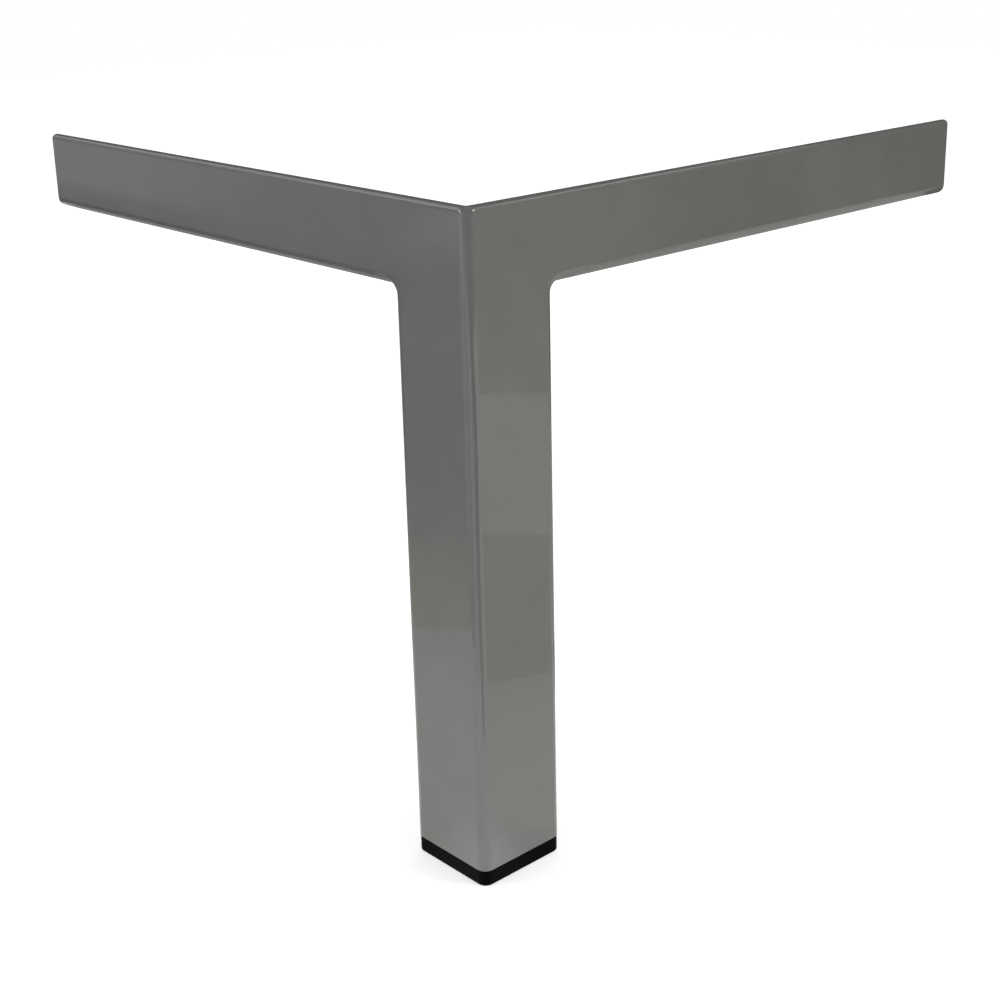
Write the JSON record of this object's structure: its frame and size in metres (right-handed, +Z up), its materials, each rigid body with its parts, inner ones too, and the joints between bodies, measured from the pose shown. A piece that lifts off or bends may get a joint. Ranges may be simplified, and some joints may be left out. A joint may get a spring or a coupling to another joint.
{
  "type": "corner furniture leg",
  "caption": "Square folded-steel corner leg whose outer faces run on into arms at right angles, with inward screw flanges to carry a furniture corner and a black plastic foot plug.",
  "frame": {"origin": "middle of the foot plug's underside, on the leg's axis", "axes": "+Z up the leg, +X and +Y along the two arms"},
  "size_m": [0.278, 0.278, 0.2565],
  "materials": {
    "lacquered_steel": "silver-grey metallic lacquer, semi-gloss, slight orange peel",
    "black_plastic": "moulded, fine grain"
  },
  "bodies": {
    "root": {"leg_frame": "lacquered_steel", "foot_plug": "black_plastic"}
  },
  "joints": []
}
